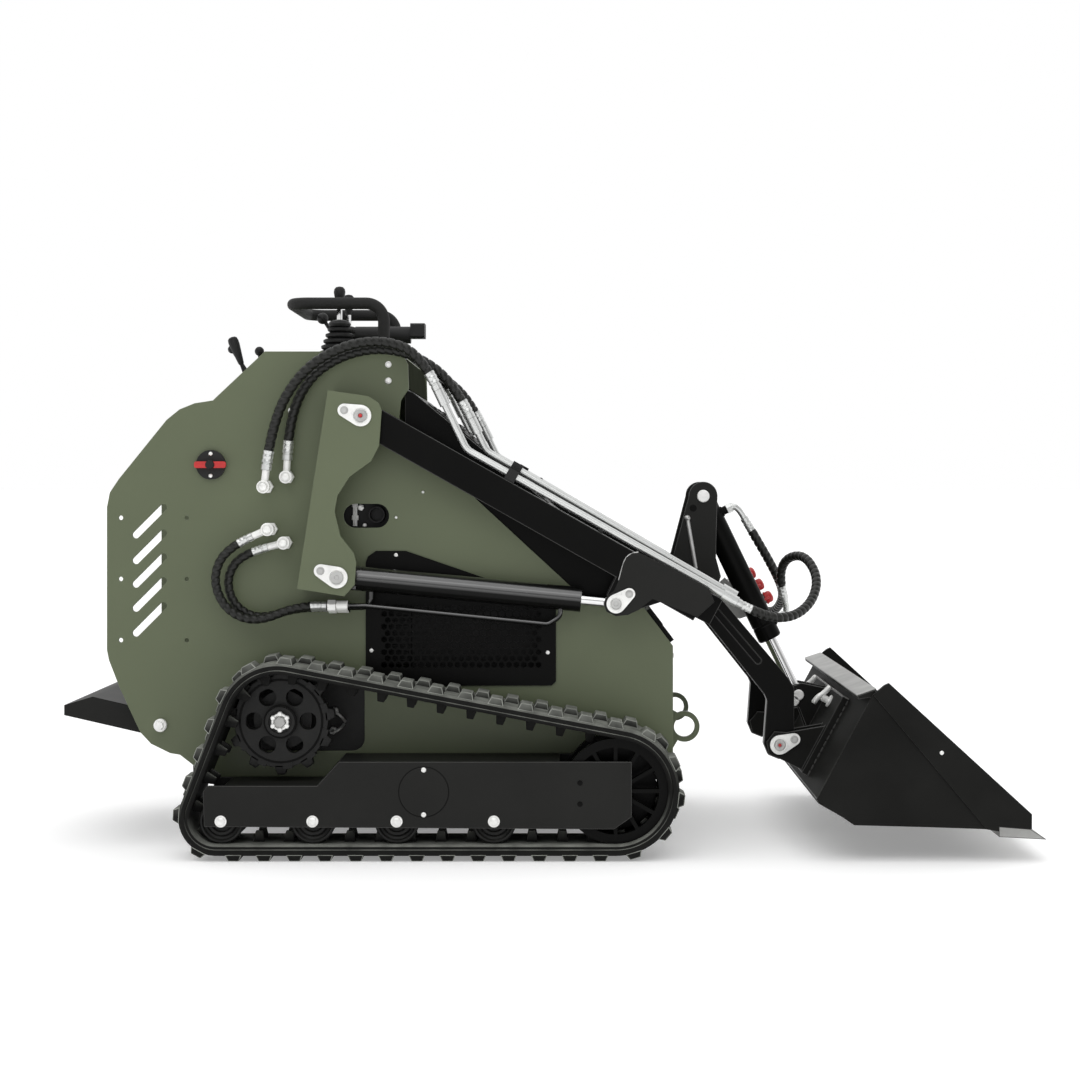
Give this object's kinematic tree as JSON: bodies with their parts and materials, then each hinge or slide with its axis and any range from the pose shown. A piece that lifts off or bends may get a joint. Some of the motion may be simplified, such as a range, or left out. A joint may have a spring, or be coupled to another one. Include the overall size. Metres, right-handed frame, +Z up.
{
  "type": "compact track loader",
  "caption": "Compact stand-on track loader with a lifting boom, a tilting bucket, hydraulic cylinders, rubber tracks and a fold-up rear platform.",
  "frame": {"origin": "bottom centre of the bounding box, on the ground under the middle of the machine", "axes": "+X forward towards the bucket, +Y to the machine's left, +Z up"},
  "size_m": [2.374, 1.12, 1.4003],
  "materials": {
    "green_paint": "satin olive green paint",
    "black_paint": "semi-gloss black paint",
    "rubber": "matt moulded rubber",
    "bare_steel": "bare or zinc-plated steel",
    "rod_chrome": "polished hard chrome",
    "black_plastic": "moulded black plastic",
    "cast_iron": "black painted casting",
    "red_plastic": "moulded red plastic"
  },
  "bodies": {
    "chassis": {"battery_switch": "black_plastic", "belly_pan": "black_paint", "boom_bracket_left": "green_paint", "boom_bracket_right": "green_paint", "boom_hoses": "rubber", "boom_stops": "rubber", "dash_panel": "green_paint", "drive_motor_left": "cast_iron", "drive_motor_right": "cast_iron", "engine": "cast_iron", "front_panel": "green_paint", "grille_left": "black_paint", "grille_right": "black_paint", "handlebar": "black_paint", "hood": "black_paint", "hose_fittings": "bare_steel", "idler_left": "cast_iron", "idler_right": "cast_iron", "instrument_housing": "black_plastic", "joysticks": "black_plastic", "lift_hoses_left": "rubber", "lift_hoses_right": "rubber", "rear_wall": "black_paint", "rollers_left": "cast_iron", "rollers_right": "cast_iron", "side_plate_left": "green_paint", "side_plate_right": "green_paint", "sprocket_left": "cast_iron", "sprocket_right": "cast_iron", "switch_handle": "red_plastic", "tie_down_rings": "green_paint", "top_deck": "green_paint", "track_frame_left": "black_paint", "track_frame_right": "black_paint", "track_left": "rubber", "track_right": "rubber"},
    "boom": {"boom_arm_right": "black_paint", "boom_arm_left": "black_paint", "boom_crossmember": "black_paint", "lower_arm_right": "black_paint", "lower_arm_left": "black_paint", "tilt_tower": "black_paint", "boom_tubes": "bare_steel", "tube_clamps": "black_plastic", "couplers": "bare_steel", "coupler_caps": "red_plastic", "tilt_hoses": "rubber"},
    "lift_barrel_right": {"lift_barrel_right": "black_paint"},
    "lift_barrel_left": {"lift_barrel_left": "black_paint"},
    "lift_rod_right": {"lift_rod_right": "rod_chrome"},
    "lift_rod_left": {"lift_rod_left": "rod_chrome"},
    "tilt_barrel": {"tilt_barrel": "black_paint"},
    "tilt_rod": {"tilt_rod": "rod_chrome"},
    "bucket": {"attach_plate": "black_paint", "bucket_shell": "black_paint", "bucket_sides": "black_paint", "cutting_edge": "bare_steel"},
    "platform": {"platform": "black_paint"}
  },
  "joints": [
    {"name": "boom_lift", "type": "hinge", "parent": "chassis", "child": "boom", "pos_m": [-0.438, 0, 1.057], "axis": [0, -1, 0], "range_deg": [-2, 75], "deforming": ["boom_hoses"]},
    {"name": "bucket_tilt", "type": "hinge", "parent": "boom", "child": "bucket", "pos_m": [0.588, 0, 0.243], "axis": [0, 1, 0], "range_deg": [-22, 105]},
    {"name": "platform_fold", "type": "hinge", "parent": "chassis", "child": "platform", "pos_m": [-0.938, 0, 0.302], "axis": [0, 1, 0], "range_deg": [0, 80]},
    {"name": "lift_barrel_swing_right", "type": "hinge", "parent": "chassis", "child": "lift_barrel_right", "pos_m": [-0.495, -0.401, 0.668], "axis": [0, -1, 0], "range_deg": [-1.62, 58.92], "deforming": ["lift_hoses_right"]},
    {"name": "lift_rod_slide_right", "type": "slide", "parent": "lift_barrel_right", "child": "lift_rod_right", "axis": [0.9955, 0, -0.0949], "range_m": [-0.01106, 0.41405]},
    {"name": "lift_barrel_swing_left", "type": "hinge", "parent": "chassis", "child": "lift_barrel_left", "pos_m": [-0.495, 0.401, 0.668], "axis": [0, -1, 0], "range_deg": [-1.62, 58.92], "deforming": ["lift_hoses_left"]},
    {"name": "lift_rod_slide_left", "type": "slide", "parent": "lift_barrel_left", "child": "lift_rod_left", "axis": [0.9955, 0, -0.0949], "range_m": [-0.01106, 0.41405]},
    {"name": "tilt_barrel_swing", "type": "hinge", "parent": "boom", "child": "tilt_barrel", "pos_m": [0.41, 0, 0.862], "axis": [0, 1, 0], "range_deg": [-0.71, 3.2], "deforming": ["tilt_hoses"]},
    {"name": "tilt_rod_slide", "type": "slide", "parent": "tilt_barrel", "child": "tilt_rod", "axis": [0.4353, 0, -0.9003], "range_m": [-0.04114, 0.19629]}
  ],
  "couplings": [
    {"joint": "lift_barrel_swing_right", "follows": "boom_lift", "ratio": 0.785},
    {"joint": "lift_rod_slide_right", "follows": "boom_lift", "m_per_rad": 0.3163},
    {"joint": "lift_barrel_swing_left", "follows": "boom_lift", "ratio": 0.785},
    {"joint": "lift_rod_slide_left", "follows": "boom_lift", "m_per_rad": 0.3163},
    {"joint": "tilt_barrel_swing", "follows": "bucket_tilt", "ratio": 0.03},
    {"joint": "tilt_rod_slide", "follows": "bucket_tilt", "m_per_rad": 0.1071}
  ]
}
